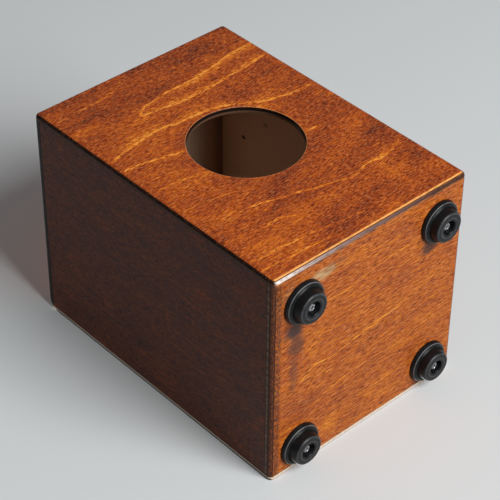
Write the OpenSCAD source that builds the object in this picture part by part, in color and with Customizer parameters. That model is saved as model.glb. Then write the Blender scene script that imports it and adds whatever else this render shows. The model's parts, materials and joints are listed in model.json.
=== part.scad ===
// Small snare cajon: a plywood box drum that stands on four rubber feet.
// The playing face (tapa) looks along -Y, the sound hole along +Y and the seat along +Z.
// The origin is on the ground, under the middle of the box. All sizes are in millimetres.

/* [Box] */
// Width of the box, side to side
body_width = 220; // [200:1:320]
// Depth of the box, tapa and rear panel included
body_depth = 220; // [200:1:320]
// Height of the box without its feet
body_height = 309; // [280:1:500]
// Thickness of the seat, bottom and side panels
wall = 8; // [8:0.5:14]
// Radius of the long edges that run from the tapa to the rear panel
edge_radius = 4.5; // [3:0.5:7]
// Radius of the seat's front edge, over the top of the tapa
seat_front_radius = 18; // [8:0.5:18]

/* [Tapa] */
// Thickness of the playing face
tapa_thickness = 3.5; // [3:0.5:5]
// Screws along each side of the tapa
side_screw_count = 4; // [3:1:7]
// Screws along the top and along the bottom of the tapa
end_screw_count = 3; // [2:1:5]

/* [Rear panel] */
// Thickness of the rear panel
rear_thickness = 6; // [4:0.5:9]
// Rounding of the rear panel's outer edge
rear_edge_radius = 4.4; // [1:0.1:4.4]
// Diameter of the sound hole
sound_hole_diameter = 103; // [80:1:120]

/* [Feet] */
// Height of a foot
foot_height = 14; // [12:1:25]
// Diameter of the flange against the bottom panel
foot_base_diameter = 41; // [36:0.5:50]
// Diameter of the flange at its rim
foot_rim_diameter = 35.4; // [34:0.2:35.8]
// Height of the flange's rim below the bottom panel
foot_rim_height = 5.2; // [4:0.2:6]
// Diameter of the foot where it meets the ground
foot_tip_diameter = 28; // [24:0.5:30]
// Diameter of the recess that holds the screw
foot_recess_diameter = 13.4; // [12.4:0.2:15]
// Distance from a side face to the middle of a foot
foot_side_setback = 32; // [26:1:50]
// Distance from the tapa's face to the middle of a front foot
foot_front_setback = 26; // [24:1:60]
// Distance from the rear face to the middle of a rear foot
foot_rear_setback = 36; // [24:1:60]

/* [Snares] */
// Free length of the snare wires
wire_length = 62; // [40:1:70]
// Outer diameter of a coiled snare wire
wire_diameter = 2; // [1.5:0.1:2.4]
// Wires in each fan
wire_count = 10; // [6:1:11]
// Distance from wire to wire
wire_pitch = 5; // [4:0.5:5]
// Lean of the snares towards the tapa, in degrees
snare_lean = 7; // [4:0.5:10]
// Distance from the middle of the box to the middle of a fan
fan_offset = 50; // [32:1:60]
// Depth of the snare bar, from the felt to its back
bar_depth = 14; // [10:1:20]
// Height of the snare bar
bar_height = 18; // [14:1:24]

/* [Hidden] */
$fn = 64;
cut = 1;
side_x = body_width / 2;
inner_x = side_x - wall;
front_y = -body_depth / 2;
rear_y = body_depth / 2;
tapa_back_y = front_y + tapa_thickness;
rear_inner_y = rear_y - rear_thickness;
shell_depth = rear_inner_y - tapa_back_y;
bottom_z = foot_height;
top_z = foot_height + body_height;
middle_z = (bottom_z + top_z) / 2;
floor_z = bottom_z + wall;
ceiling_z = top_z - wall;

// Glued batten that takes the tapa's top screws, below the rounded seat edge
batten_size = 14;
batten_bottom_z = ceiling_z - batten_size;

// Tapa screws: countersunk, 2.6 mm shank
tapa_screw_head_r = 2.9;
tapa_screw_head_h = 1.6;
tapa_screw_r = 1.3;
tapa_screw_length = 18;
tapa_screw_inset = wall / 2;
side_screw_margin = 24;
end_screw_span = body_width - 2 * 34;
top_screw_z = batten_bottom_z + 3.5;
bottom_screw_z = bottom_z + tapa_screw_inset;

// Foot screws: pan head, 3.5 mm shank, on a washer in the foot's recess
foot_recess_depth = 6.4;
washer_r = 6;
washer_thickness = 1;
foot_screw_head_r = 3.8;
foot_screw_head_h = 2.4;
foot_screw_r = 1.75;
foot_screw_bite = 6;
foot_hole_r = 2.1;
foot_x = side_x - foot_side_setback;
foot_front_y = front_y + foot_front_setback;
foot_rear_y = rear_y - foot_rear_setback;
foot_places = [
    [-foot_x, foot_front_y], [foot_x, foot_front_y],
    [-foot_x, foot_rear_y], [foot_x, foot_rear_y]
];

// Dowels between the side panels and the seat and bottom
dowel_r = 2;
dowel_in_side = 10;
dowel_in_end = 5;
dowel_row = [-75, 0, 75];

// Snares: the wires' root line, found from where the tips touch the tapa
tip_gap = 0.4;
tip_y = tapa_back_y + wire_diameter / 2 + tip_gap;
tip_z = batten_bottom_z - 8;
root_y = tip_y + wire_length * sin(snare_lean);
root_z = tip_z - wire_length * cos(snare_lean);
root_gap = 0.3;
plate_length = (wire_count - 1) * wire_pitch + 7;
plate_height = 12;
plate_thickness = 0.8;
felt_thickness = 1.5;
felt_front = plate_thickness / 2;
bar_front = felt_front + felt_thickness;
bar_drop = 0.5;
block_length = 14;
block_height = 16;
snare_screw_r = 1.5;
snare_screw_head_r = 3;
snare_screw_head_h = 1.8;
snare_screw_length = 13;
snare_screw_spread = 18;
snare_screw_drop = root_gap + plate_height / 2;

PLY = "chocolate";
PLY_DARK = "saddlebrown";
PALE_WOOD = "burlywood";
RUBBER = "#1c1e21";
STEEL = "silver";
BRASS = "goldenrod";

// Rectangle centred on the origin, with round corners
module round_cornered(w, h, r) {
    square([w - 2 * r, h], center = true);
    square([w, h - 2 * r], center = true);
    for (x = [-1, 1], y = [-1, 1])
        translate([x * (w / 2 - r), y * (h / 2 - r)]) circle(r);
}

// The box's outline seen from the front, carried along Y from one depth to another
module front_outline(from_y, to_y) {
    translate([0, to_y, middle_z])
        rotate([90, 0, 0])
            linear_extrude(to_y - from_y)
                round_cornered(body_width, body_height, edge_radius);
}

// The space under the rounded front edge of the seat, as wide as the box
module under_seat_front() {
    r = seat_front_radius;
    rotate([90, 0, 90])
        linear_extrude(body_width + 2 * cut, center = true)
            union() {
                translate([front_y, 0]) square([body_depth, top_z - r]);
                translate([front_y + r, 0]) square([body_depth - r, top_z]);
                translate([front_y + r, top_z - r]) circle(r);
            }
}

// Outer shape of the glued shell between the tapa and the rear panel
module shell_shape() {
    intersection() {
        front_outline(tapa_back_y, rear_inner_y);
        under_seat_front();
    }
}

// Disc with a rounded upper edge, the corner of a soft-edged board; edge is less than r and t
module soft_disc(r, t, edge) {
    rotate_extrude($fn = 48)
        intersection() {
            square([r, t]);
            union() {
                square([r, t - edge]);
                square([r - edge, t]);
                translate([r - edge, t - edge]) circle(edge, $fn = 32);
            }
        }
}

function spread(count, span, i) = -span / 2 + i * span / (count - 1);

function side_screw_z(i) =
    middle_z + spread(side_screw_count, body_height - 2 * side_screw_margin, i);

function end_screw_x(i) = spread(end_screw_count, end_screw_span, i);

// Puts its children, drawn along +Y, at every tapa screw in a side panel
module at_side_screws(side) {
    for (i = [0 : side_screw_count - 1])
        translate([side * (side_x - tapa_screw_inset), front_y, side_screw_z(i)])
            children();
}

// Puts its children, drawn along +Y, at the row of tapa screws at height z
module at_end_screws(z) {
    for (i = [0 : end_screw_count - 1])
        translate([end_screw_x(i), front_y, z]) children();
}

// Straight hole for a tapa screw's shank, along +Y
module tapa_screw_hole() {
    rotate([-90, 0, 0]) cylinder(h = tapa_screw_length, r = tapa_screw_r);
}

// Hole with a countersink in the tapa's face
module countersunk_hole() {
    tapa_screw_hole();
    rotate([-90, 0, 0])
        cylinder(h = tapa_screw_head_h, r1 = tapa_screw_head_r, r2 = tapa_screw_r);
}

// Cross-shaped driver recess, cut downwards from z = 0
module cross_recess(arm, width, depth) {
    for (turn = [0, 90])
        rotate([0, 0, turn])
            translate([-arm, -width / 2, -depth])
                cube([2 * arm, width, depth + cut]);
}

// Countersunk screw with its flat head at y = 0, pointing along +Y
module tapa_screw() {
    rotate([-90, 0, 0])
        difference() {
            union() {
                cylinder(h = tapa_screw_head_h, r1 = tapa_screw_head_r, r2 = tapa_screw_r);
                cylinder(h = tapa_screw_length - 1, r = tapa_screw_r);
            }
            rotate([180, 0, 0]) cross_recess(1.7, 0.7, 0.9);
        }
}

// Pan-head screw pointing along -Z, with the underside of its head at z = 0
module pan_screw(head_r, head_h, shank_r, length, recess_arm) {
    difference() {
        union() {
            translate([0, 0, -length]) cylinder(h = length, r = shank_r);
            cylinder(h = head_h * 0.5, r = head_r);
            translate([0, 0, head_h * 0.5])
                cylinder(h = head_h * 0.5, r1 = head_r, r2 = head_r * 0.72);
        }
        translate([0, 0, head_h]) cross_recess(recess_arm, recess_arm * 0.4, head_h * 0.6);
    }
}

// Holes for the dowels of one joint; direction is 1 for upwards and -1 for downwards
module dowel_holes(z, direction, depth) {
    for (side = [-1, 1], y = dowel_row)
        translate([side * (side_x - wall / 2), y, direction > 0 ? z : z - depth])
            cylinder(h = depth, r = dowel_r);
}

module seat_panel() {
    color(PLY)
        difference() {
            intersection() {
                shell_shape();
                translate([-side_x, front_y, ceiling_z])
                    cube([body_width, body_depth, wall]);
            }
            dowel_holes(ceiling_z, 1, dowel_in_end);
        }
}

module bottom_panel() {
    color(PLY)
        difference() {
            intersection() {
                shell_shape();
                translate([-side_x, front_y, bottom_z])
                    cube([body_width, body_depth, wall]);
            }
            dowel_holes(floor_z, -1, dowel_in_end);
            at_end_screws(bottom_screw_z) tapa_screw_hole();
            for (place = foot_places)
                translate([place[0], place[1], bottom_z])
                    cylinder(h = foot_screw_bite, r = foot_screw_r);
        }
}

module side_panel(side) {
    color(PLY_DARK)
        difference() {
            translate([side > 0 ? inner_x : -side_x, tapa_back_y, floor_z])
                cube([wall, shell_depth, ceiling_z - floor_z]);
            dowel_holes(floor_z, 1, dowel_in_side);
            dowel_holes(ceiling_z, -1, dowel_in_side);
            at_side_screws(side) tapa_screw_hole();
        }
}

module rear_panel() {
    corner_x = side_x - edge_radius;
    corner_z = body_height / 2 - edge_radius;
    color(PLY)
        difference() {
            hull()
                for (x = [-corner_x, corner_x], z = [-corner_z, corner_z])
                    translate([x, rear_inner_y, middle_z + z])
                        rotate([-90, 0, 0])
                            soft_disc(edge_radius, rear_thickness, rear_edge_radius);
            translate([0, rear_inner_y - cut, middle_z])
                rotate([-90, 0, 0])
                    cylinder(h = rear_thickness + 2 * cut, d = sound_hole_diameter, $fn = 128);
        }
}

module tapa() {
    color(PALE_WOOD)
        difference() {
            intersection() {
                front_outline(front_y, tapa_back_y);
                under_seat_front();
            }
            for (side = [-1, 1]) at_side_screws(side) countersunk_hole();
            for (z = [top_screw_z, bottom_screw_z]) at_end_screws(z) countersunk_hole();
        }
}

module top_front_batten() {
    color(PALE_WOOD)
        difference() {
            translate([-inner_x, tapa_back_y, batten_bottom_z])
                cube([2 * inner_x, batten_size, batten_size]);
            at_end_screws(top_screw_z) tapa_screw_hole();
        }
}

module panel_dowels() {
    length = dowel_in_side + dowel_in_end;
    color(PALE_WOOD)
        for (side = [-1, 1], y = dowel_row, z = [floor_z - dowel_in_end, ceiling_z - dowel_in_side])
            translate([side * (side_x - wall / 2), y, z])
                cylinder(h = length, r = dowel_r);
}

module tapa_screws() {
    color(STEEL) {
        for (side = [-1, 1]) at_side_screws(side) tapa_screw();
        for (z = [top_screw_z, bottom_screw_z]) at_end_screws(z) tapa_screw();
    }
}

// Stepped rubber foot under the bottom panel: a flange, a shoulder and a tapering tip
module foot(place) {
    base_r = foot_base_diameter / 2;
    rim_r = foot_rim_diameter / 2;
    neck_r = rim_r - 1.6;
    tip_r = foot_tip_diameter / 2;
    recess_r = foot_recess_diameter / 2;
    lip = 1.2;
    color(RUBBER)
        translate([place[0], place[1], 0])
            difference() {
                rotate_extrude()
                    polygon([
                        [0, foot_height], [base_r, foot_height],
                        [base_r, foot_height - 1], [rim_r + 0.4, foot_height - foot_rim_height],
                        [rim_r - 0.4, foot_height - foot_rim_height - 0.4],
                        [neck_r, foot_height - foot_rim_height + 0.8],
                        [tip_r + 0.5, lip], [tip_r - 0.7, 0], [0, 0]
                    ]);
                translate([0, 0, -cut])
                    cylinder(h = foot_recess_depth + cut, r = recess_r);
                cylinder(h = foot_height + cut, r = foot_hole_r);
            }
}

module foot_washers() {
    color(STEEL)
        for (place = foot_places)
            translate([place[0], place[1], foot_recess_depth - washer_thickness])
                difference() {
                    cylinder(h = washer_thickness, r = washer_r);
                    translate([0, 0, -cut])
                        cylinder(h = washer_thickness + 2 * cut, r = foot_hole_r);
                }
}

module foot_screws() {
    seat_z = foot_recess_depth - washer_thickness;
    color(STEEL)
        for (place = foot_places)
            translate([place[0], place[1], seat_z])
                rotate([180, 0, 0])
                    pan_screw(foot_screw_head_r, foot_screw_head_h, foot_screw_r,
                              bottom_z + foot_screw_bite - seat_z, 2.2);
}

// The snares' own frame: its X axis is the wires' root line, +Z runs along the wires
module at_snare_root() {
    translate([0, root_y, root_z]) rotate([snare_lean, 0, 0]) children();
}

// Puts its children at the two screws of every fan, in the snares' frame
module at_snare_screws(fans) {
    for (fan = fans, side = [-1, 1])
        translate([fan * fan_offset + side * snare_screw_spread, 0, -snare_screw_drop])
            children();
}

// Hole for a snare screw, along the snares' +Y
module snare_screw_hole() {
    translate([0, -cut, 0])
        rotate([-90, 0, 0])
            cylinder(h = snare_screw_length + cut, r = snare_screw_r);
}

module snare_bar() {
    color(PALE_WOOD)
        at_snare_root()
            difference() {
                translate([-inner_x, bar_front, -bar_drop - bar_height])
                    cube([2 * inner_x, bar_depth, bar_height]);
                at_snare_screws([-1, 1]) snare_screw_hole();
            }
}

module bar_block(side) {
    color(PALE_WOOD)
        at_snare_root()
            translate([side > 0 ? inner_x - block_length : -inner_x, bar_front,
                       -bar_drop - bar_height - block_height])
                cube([block_length, bar_depth, block_height]);
}

module snare_felt() {
    felt_length = 2 * fan_offset + plate_length;
    felt_height = plate_height + root_gap;
    color("dimgray")
        at_snare_root()
            difference() {
                translate([-felt_length / 2, felt_front, -felt_height - bar_drop])
                    cube([felt_length, felt_thickness, felt_height]);
                at_snare_screws([-1, 1]) snare_screw_hole();
            }
}

module snare_plate(fan) {
    color(BRASS)
        at_snare_root()
            difference() {
                translate([fan * fan_offset - plate_length / 2, -plate_thickness / 2,
                           -root_gap - plate_height])
                    cube([plate_length, plate_thickness, plate_height]);
                at_snare_screws([fan]) snare_screw_hole();
            }
}

module snare_wires(fan) {
    color(STEEL)
        at_snare_root()
            for (i = [0 : wire_count - 1])
                translate([fan * fan_offset + spread(wire_count, (wire_count - 1) * wire_pitch, i), 0, 0])
                    cylinder(h = wire_length, d = wire_diameter, $fn = 24);
}

module snare_screws() {
    color(STEEL)
        at_snare_root()
            at_snare_screws([-1, 1])
                translate([0, -plate_thickness / 2, 0])
                    rotate([90, 0, 0])
                        pan_screw(snare_screw_head_r, snare_screw_head_h, snare_screw_r,
                                  snare_screw_length, 1.7);
}

seat_panel();
bottom_panel();
side_panel(-1);  // left_side_panel
side_panel(1);  // right_side_panel
rear_panel();
tapa();
top_front_batten();
panel_dowels();
tapa_screws();
foot(foot_places[0]);  // front_left_foot
foot(foot_places[1]);  // front_right_foot
foot(foot_places[2]);  // rear_left_foot
foot(foot_places[3]);  // rear_right_foot
foot_washers();
foot_screws();
snare_bar();
bar_block(-1);  // left_bar_block
bar_block(1);  // right_bar_block
snare_felt();
snare_plate(-1);  // left_snare_plate
snare_plate(1);  // right_snare_plate
snare_wires(-1);  // left_snare_wires
snare_wires(1);  // right_snare_wires
snare_screws();
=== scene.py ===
"""Small snare cajon: the looks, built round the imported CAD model.

The box stands on its feet in this frame: +Z is up through the seat, -Y looks out of the tapa and +Y out of
the sound hole. The camera sees it lying on its tapa, so the studio floor touches that face and the camera's
up is +Y.
All sizes are in metres unless a name says otherwise.
"""

import json
import math

import bmesh
import bpy
import numpy as np
from mathutils import Matrix, Vector
from mathutils.geometry import delaunay_2d_cdt


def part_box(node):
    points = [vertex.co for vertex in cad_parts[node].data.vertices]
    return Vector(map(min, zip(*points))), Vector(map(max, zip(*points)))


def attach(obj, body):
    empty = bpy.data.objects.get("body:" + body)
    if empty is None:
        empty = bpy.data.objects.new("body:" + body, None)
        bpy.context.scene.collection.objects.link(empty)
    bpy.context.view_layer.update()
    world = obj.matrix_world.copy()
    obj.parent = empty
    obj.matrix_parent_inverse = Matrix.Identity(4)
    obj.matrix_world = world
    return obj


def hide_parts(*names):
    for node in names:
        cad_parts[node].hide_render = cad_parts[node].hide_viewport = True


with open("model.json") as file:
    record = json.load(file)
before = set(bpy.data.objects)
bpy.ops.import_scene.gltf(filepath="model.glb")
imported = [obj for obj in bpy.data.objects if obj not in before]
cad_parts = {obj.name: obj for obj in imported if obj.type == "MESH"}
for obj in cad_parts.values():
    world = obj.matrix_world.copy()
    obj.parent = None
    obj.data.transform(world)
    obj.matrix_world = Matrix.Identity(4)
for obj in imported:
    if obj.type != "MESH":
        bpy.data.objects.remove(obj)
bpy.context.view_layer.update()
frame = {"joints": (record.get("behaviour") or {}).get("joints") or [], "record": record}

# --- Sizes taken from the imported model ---

MM = 0.001
SEAT_LOW, SEAT_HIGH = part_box("seat_panel")
BOTTOM_LOW, BOTTOM_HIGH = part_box("bottom_panel")
SIDE_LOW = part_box("right_side_panel")[0]
REAR_LOW, REAR_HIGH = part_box("rear_panel")
TAPA_LOW, TAPA_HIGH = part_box("tapa")
BATTEN_LOW, BATTEN_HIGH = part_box("top_front_batten")

SIDE_X = REAR_HIGH.x
INNER_X = SIDE_LOW.x
FRONT_Y = TAPA_LOW.y
TAPA_BACK_Y = TAPA_HIGH.y
REAR_INNER_Y = REAR_LOW.y
REAR_Y = REAR_HIGH.y
BOTTOM_Z = BOTTOM_LOW.z
FLOOR_Z = BOTTOM_HIGH.z
CEILING_Z = SEAT_LOW.z
TOP_Z = SEAT_HIGH.z
MIDDLE_Z = (BOTTOM_Z + TOP_Z) / 2
WALL = FLOOR_Z - BOTTOM_Z

SOUND_HOLE_R = [m for m in frame["record"]["mounts"] if m["name"] == "sound_hole"][0]["dims"]["r_mm"] * MM

# Roundings of the box: its long edges, the seat's front, the rear rim, glued joints and arrises left crisp
EDGE_R = 4.5 * MM
SEAT_FRONT_R = 18 * MM
REAR_RIM_R = 4.4 * MM
JOINT_EDGE = 0.25 * MM
CRISP_EDGE = 0.15 * MM
INNER_CORNER_R = 0.2 * MM

# How far beyond each rounding a supporting point stands on the flat, and the smallest rounding
SUPPORT = 0.4 * MM
LEAST_R = 0.02 * MM

# The snares' own frame: the wires' root line, leaning to the tapa
SNARE_HINGE = frame["joints"][0]["pos_m"]
ROOT_Y, ROOT_Z = SNARE_HINGE[1], SNARE_HINGE[2]
SNARE_LEAN = math.radians(7)
FAN_X = abs(SNARE_HINGE[0])
WIRE_COUNT = 10
WIRE_PITCH = 5 * MM
WIRE_LENGTH = 62 * MM

# The feet's middles
FOOT_X = sum(corner.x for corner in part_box("rear_right_foot")) / 2
FOOT_REAR_Y = sum(corner.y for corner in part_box("rear_right_foot")) / 2
FOOT_FRONT_Y = sum(corner.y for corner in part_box("front_right_foot")) / 2

TURN = 2 * math.pi


def mm(*values):
    """Values given in millimetres, in metres."""
    return tuple(value * MM for value in values)


# --- Surfaces ---


def skin(sections, loop=False):
    """Vertices and faces through cross-sections: sections[i, j] is point j of closed section i.
    Neighbours are joined by quads. With loop the last section joins the first; without it both ends get a
    flat cap."""
    count, around = sections.shape[:2]
    i = np.arange(count if loop else count - 1)[:, None]
    j = np.arange(around)[None, :]
    here, beyond = i * around, ((i + 1) % count) * around
    after = (j + 1) % around
    quads = np.stack([here + j, here + after, beyond + after, beyond + j], axis=-1).reshape(-1, 4)
    faces = quads.tolist()
    if not loop:
        faces.append(list(range(around)))
        faces.append(list(range((count - 1) * around, count * around)))
    return sections.reshape(-1, 3), faces


def joined(parts):
    """Several (vertices, faces) pairs as one."""
    vertices = np.concatenate([part[0] for part in parts])
    starts = np.cumsum([0] + [len(part[0]) for part in parts[:-1]])
    faces = []
    for part, start in zip(parts, starts):
        faces += [[corner + int(start) for corner in face] for face in part[1]]
    return vertices, faces


def copies(part, places):
    """The same (vertices, faces) moved to each of the places, an array of offsets."""
    return joined([(part[0] + np.asarray(place), part[1]) for place in places])


def make_piece(name, part, finish, body, nodes, sharp_degrees=40):
    """A finished piece at the origin: doubles merged, faces outward, smooth but for its sharp edges."""
    mesh = bpy.data.meshes.new(name)
    mesh.from_pydata(part[0].tolist(), [], part[1])
    work = bmesh.new()
    work.from_mesh(mesh)
    bmesh.ops.remove_doubles(work, verts=work.verts, dist=2e-6)
    bmesh.ops.dissolve_degenerate(work, edges=work.edges, dist=1e-7)
    bmesh.ops.recalc_face_normals(work, faces=work.faces)
    work.to_mesh(mesh)
    work.free()
    mesh.polygons.foreach_set("use_smooth", np.ones(len(mesh.polygons), dtype=bool))
    mesh.set_sharp_from_angle(angle=math.radians(sharp_degrees))
    mesh.materials.append(finish)
    piece = bpy.data.objects.new(name, mesh)
    bpy.context.scene.collection.objects.link(piece)
    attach(piece, body)
    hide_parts(*nodes)
    return piece


def outline(low, high, radii, inset, steps=8, between=(0, 0)):
    """A rectangle with round corners, moved inwards by inset: a closed curve of (steps + 3) points at each
    corner. Each corner is a quarter circle about its own centre, with one more point on the straight either
    side of it. radii are those of the corners ++, -+, --, +-; between says how many points stand on the two
    kinds of straight."""
    low, high = np.asarray(low, float), np.asarray(high, float)
    turns = np.arange(4)[:, None] * (TURN / 4)
    r = np.maximum(np.asarray(radii, float) - inset, LEAST_R)[:, None]
    signs = np.array([[1, 1], [-1, 1], [-1, -1], [1, -1]], float)
    corner = (low + high) / 2 + signs * ((high - low) / 2 - inset)
    centre = corner[:, None, :] - signs[:, None, :] * r[..., None]
    angle = turns + np.linspace(0, TURN / 4, steps + 1)[None, :]
    arc = centre + r[..., None] * np.stack([np.cos(angle), np.sin(angle)], axis=-1)
    before = arc[:, :1] + SUPPORT * np.stack([np.sin(turns), -np.cos(turns)], axis=-1)
    after = arc[:, -1:] + SUPPORT * np.stack([-np.cos(turns), -np.sin(turns)], axis=-1)
    rows = []
    for k in range(4):
        share = np.arange(1, between[k % 2] + 1)[:, None] / (between[k % 2] + 1)
        straight = after[k] * (1 - share) + before[(k + 1) % 4] * share
        rows += [before[k], arc[k], after[k], straight]
    return np.concatenate(rows)


def edge_profile(start, end, start_r, end_r, steps=3):
    """(inset, depth) pairs of a board's edge from one face to the other: a quarter circle at each arris, with
    a point on the flat either side of it."""
    angle = np.linspace(0, TURN / 4, steps + 1)
    first = np.stack([start_r * (1 - np.sin(angle)), start + start_r * (1 - np.cos(angle))], axis=1)
    last = np.stack([end_r * (1 - np.cos(angle)), end - end_r * (1 - np.sin(angle))], axis=1)
    rows = [
        [[start_r + SUPPORT, start]], first, [[0, start + start_r + SUPPORT]],
        [[0, end - end_r - SUPPORT]], last, [[end_r + SUPPORT, end]],
    ]
    return np.concatenate(rows)


def placed(across, up, depth, axes):
    """Points from three arrays, each laid along the axis that its letter names."""
    values = dict(zip(axes, np.broadcast_arrays(across, up, depth)))
    return np.stack([values["x"], values["y"], values["z"]], axis=-1)


def board_sections(low, high, radii, profile, axes, steps=8, between=(0, 0)):
    """Sections of a board: its outline at each inset of the edge profile, carried through the depth."""
    rows = []
    for inset, depth in profile:
        points = outline(low, high, radii, inset, steps, between)
        rows.append(placed(points[:, 0], points[:, 1], np.full(len(points), depth), axes))
    return np.array(rows)


def lathe(profile, steps=64):
    """A profile of (radius, height) pairs turned about Z, as sections."""
    profile = np.asarray(profile, float)
    angle = np.linspace(0, TURN, steps, endpoint=False)
    r, z = profile[:, :1], profile[:, 1:]
    return np.stack([r * np.cos(angle), r * np.sin(angle), z + 0 * angle], axis=-1)


def softened(corners, radii, steps=4):
    """A chain of (radius, height) corners with each inner corner rounded off: a quadratic curve from a point
    before it to a point after it, both at the given distance from the corner, or 0.45 of the straight if that
    is less."""
    corners = np.asarray(corners, float)
    t = np.linspace(0, 1, steps + 1)[:, None]
    rows = [corners[:1]]
    for before, here, after, r in zip(corners[:-2], corners[1:-1], corners[2:], radii):
        start, end = [
            here + (other - here) / np.linalg.norm(other - here) * min(r, 0.45 * np.linalg.norm(other - here))
            for other in (before, after)
        ]
        rows.append((1 - t) ** 2 * start + 2 * t * (1 - t) * here + t ** 2 * end)
    rows.append(corners[-1:])
    return np.concatenate(rows)


def soft_step(value, low, high):
    """0 below low, 1 above high, smooth between."""
    t = np.clip((value - low) / (high - low), 0, 1)
    return t * t * (3 - 2 * t)


def face_with_holes(rim, centres, radius, depth, axes, steps=24):
    """A flat face inside a rim, with round holes: triangles between the rim and the holes' circles."""
    angle = np.linspace(0, TURN, steps, endpoint=False)
    circle = radius * np.stack([np.cos(angle), np.sin(angle)], axis=1)
    points = np.concatenate([rim] + [np.asarray(centre) + circle for centre in centres])
    loops = [list(range(len(rim)))]
    loops += [[len(rim) + steps * k + j for j in range(steps)] for k in range(len(centres))]
    edges = [(a, b) for loop in loops for a, b in zip(loop, loop[1:] + loop[:1])]
    found = delaunay_2d_cdt([Vector(p) for p in points.tolist()], edges, [], 0, 1e-7)
    corners = np.array([[v.x, v.y] for v in found[0]])
    triangles = np.array([list(face) for face in found[2]])
    middle = corners[triangles].mean(axis=1)
    away = np.linalg.norm(middle[:, None, :] - np.asarray(centres)[None, :, :], axis=2).min(axis=1)
    kept = triangles[away > radius * 0.99]
    return placed(corners[:, 0], corners[:, 1], np.full(len(corners), depth), axes), kept.tolist()


# --- Finishes ---


class Finish:
    """A material under construction. Each method adds one node and hands back its output."""

    def __init__(self, name):
        self.material = bpy.data.materials.new(name)
        self.material.use_nodes = True
        self.tree = self.material.node_tree
        self.tree.nodes.clear()

    def node(self, kind, inputs, **settings):
        made = self.tree.nodes.new(kind)
        for key, value in settings.items():
            setattr(made, key, value)
        for key, value in inputs.items():
            if isinstance(value, bpy.types.NodeSocket):
                self.tree.links.new(value, made.inputs[key])
            else:
                made.inputs[key].default_value = value
        return made

    def position(self):
        return self.node("ShaderNodeTexCoord", {}).outputs["Object"]

    def split(self, vector):
        return self.node("ShaderNodeSeparateXYZ", {0: vector}).outputs

    def join(self, x, y, z):
        return self.node("ShaderNodeCombineXYZ", {0: x, 1: y, 2: z}).outputs[0]

    def math(self, operation, a, b=0.0, c=0.0, clamp=False):
        made = self.node("ShaderNodeMath", {0: a, 1: b, 2: c}, operation=operation, use_clamp=clamp)
        return made.outputs[0]

    def times(self, first, *others):
        """The product of all the values."""
        for other in others:
            first = self.math("MULTIPLY", first, other)
        return first

    def plus(self, a, b, clamp=False):
        return self.math("ADD", a, b, clamp=clamp)

    def minus(self, a, b):
        return self.math("SUBTRACT", a, b)

    def times_plus(self, a, b, c):
        return self.math("MULTIPLY_ADD", a, b, c)

    def swing(self, noise, gain, base=0.0):
        """base plus gain times the noise's distance from its middle value, 0.5."""
        return self.times_plus(self.minus(noise, 0.5), gain, base)

    def noise(self, vector, scale, shift=(0, 0, 0), detail=2.0, roughness=0.5, distortion=0.0):
        """Noise over the vector times scale, one number or three, and moved by shift."""
        scale = scale if isinstance(scale, tuple) else (scale,) * 3
        spread = self.node("ShaderNodeMapping", {"Vector": vector, "Scale": scale, "Location": shift})
        inputs = {"Vector": spread.outputs[0], "Scale": 1.0, "Detail": detail, "Roughness": roughness,
                  "Distortion": distortion}
        return self.node("ShaderNodeTexNoise", inputs).outputs["Fac"]

    def step(self, value, low, high, start=0.0, end=1.0):
        inputs = {"Value": value, "From Min": low, "From Max": high, "To Min": start, "To Max": end}
        return self.node("ShaderNodeMapRange", inputs, interpolation_type="SMOOTHSTEP").outputs["Result"]

    def ramp(self, value, stops):
        """A colour ramp through (place, colour) stops, straight between them."""
        made = self.node("ShaderNodeValToRGB", {0: value})
        band = made.color_ramp
        band.interpolation = "LINEAR"
        while len(band.elements) < len(stops):
            band.elements.new(0.5)
        for element, (place, colour) in zip(band.elements, stops):
            element.position = place
            element.color = (*colour, 1)
        return made.outputs["Color"]

    def mix(self, factor, a, b, blend="MIX"):
        first, second = [(*colour, 1) if isinstance(colour, tuple) else colour for colour in (a, b)]
        made = self.node("ShaderNodeMix", {0: factor, 6: first, 7: second}, data_type="RGBA",
                         blend_type=blend, clamp_factor=True)
        return made.outputs[2]

    def tint(self, colour, shade, *shares):
        """The colour with a shade mixed in by the product of the shares."""
        return self.mix(self.times(*shares), colour, shade)

    def curve(self, value, points, limit):
        """A smooth curve through given points (value, result), all of them from -limit to limit."""
        share = self.math("DIVIDE", self.minus(value, -limit), 2 * limit)
        made = self.node("ShaderNodeFloatCurve", {1: share})
        line = made.mapping.curves[0]
        spots = sorted(((v + limit) / (2 * limit), (r + limit) / (2 * limit)) for v, r in points)
        while len(line.points) < len(spots):
            line.points.new(0.5, 0.5)
        for point, spot in zip(line.points, spots):
            point.location = spot
        made.mapping.update()
        return self.times_plus(made.outputs[0], 2 * limit, -limit)

    def between(self, value, low, high, soft):
        """1 from low to high, fading to 0 over soft on either side; all three in millimetres."""
        low, high, soft = mm(low, high, soft)
        return self.times(self.step(value, low - soft, low), self.step(value, high + soft, high))

    def away(self, across, up, centre=(0.0, 0.0), half=(1.0, 1.0)):
        """Distance from a centre, in units of the half widths of an ellipse."""
        u = self.math("DIVIDE", self.minus(across, centre[0]), half[0])
        v = self.math("DIVIDE", self.minus(up, centre[1]), half[1])
        return self.math("SQRT", self.times_plus(u, u, self.times(v, v)))

    def bump(self, height, distance, strength=1.0, under=None):
        inputs = {"Height": height, "Distance": distance, "Strength": strength}
        if under is not None:
            inputs["Normal"] = under
        return self.node("ShaderNodeBump", inputs).outputs[0]

    def surface(self, **sockets):
        """Ends the material: a Principled shader with these sockets, written with _ for the spaces."""
        inputs = {key.replace("_", " "): value for key, value in sockets.items()}
        shader = self.node("ShaderNodeBsdfPrincipled", inputs)
        self.node("ShaderNodeOutputMaterial", {"Surface": shader.outputs[0]})
        return self.material


def grey(level):
    return (level, level, level)


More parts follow.
